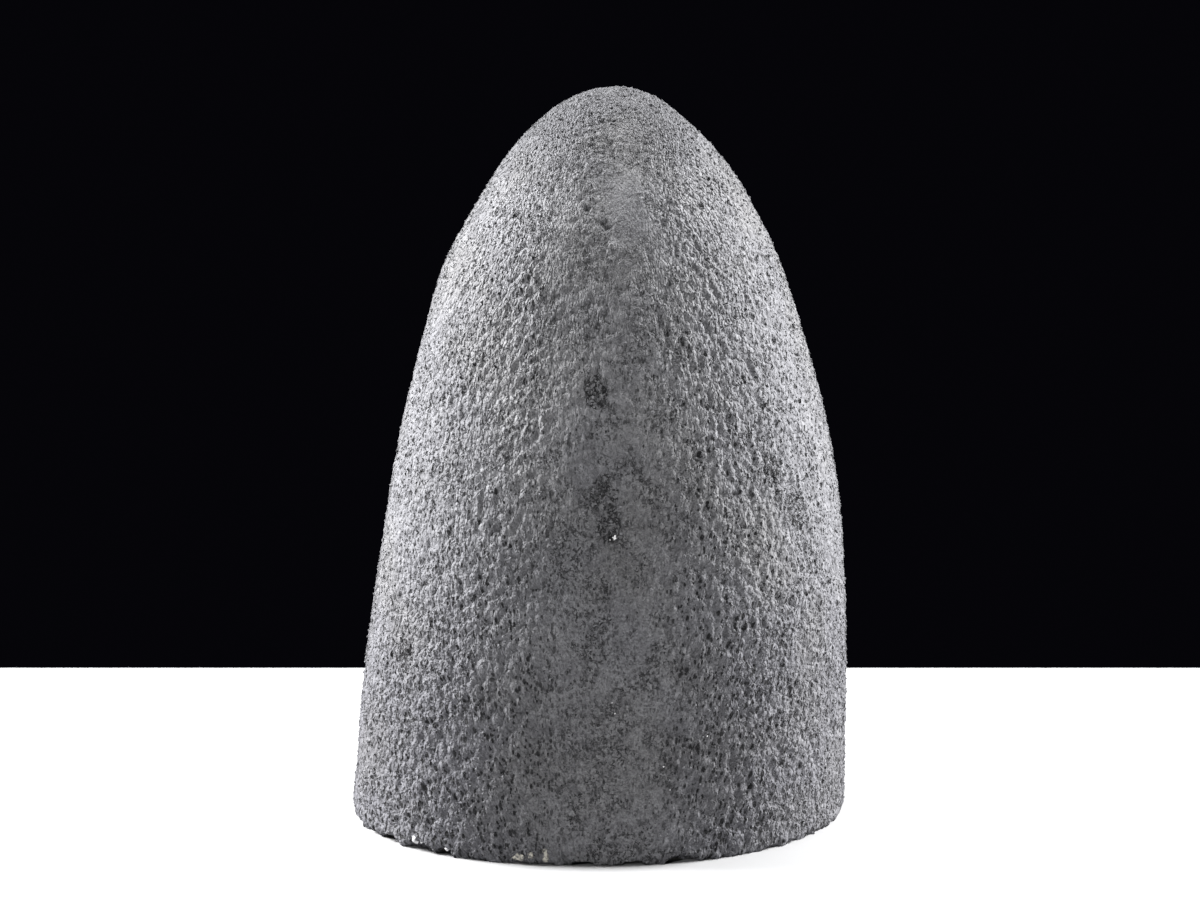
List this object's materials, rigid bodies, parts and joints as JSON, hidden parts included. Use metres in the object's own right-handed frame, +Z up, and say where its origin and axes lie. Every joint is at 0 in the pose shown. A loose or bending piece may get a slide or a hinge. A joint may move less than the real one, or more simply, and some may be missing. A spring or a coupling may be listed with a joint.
{
  "type": "amethyst geode",
  "caption": "Standing geode with a flat sawn foot, a sawn front that opens on an amethyst-lined hollow, and a rough grey mortar back.",
  "frame": {"origin": "on the flat foot, under the middle of the whole object", "axes": "+Z up, the geode's height; -Y towards the sawn front with the hollow, +Y towards the mortar-coated back; +X to the right when looking at the front"},
  "size_m": [0.1726, 0.1112, 0.25],
  "materials": {
    "mortar": "dark grey sanded mortar, dry and rough, with small pits",
    "geode_stone": "sawn and polished banded chalcedony and white quartz",
    "amethyst": "clear violet quartz points with bright natural faces",
    "quartz": "broken white quartz grains"
  },
  "bodies": {
    "root": {"mortar_coat": "mortar", "geode": "geode_stone"}
  },
  "joints": []
}
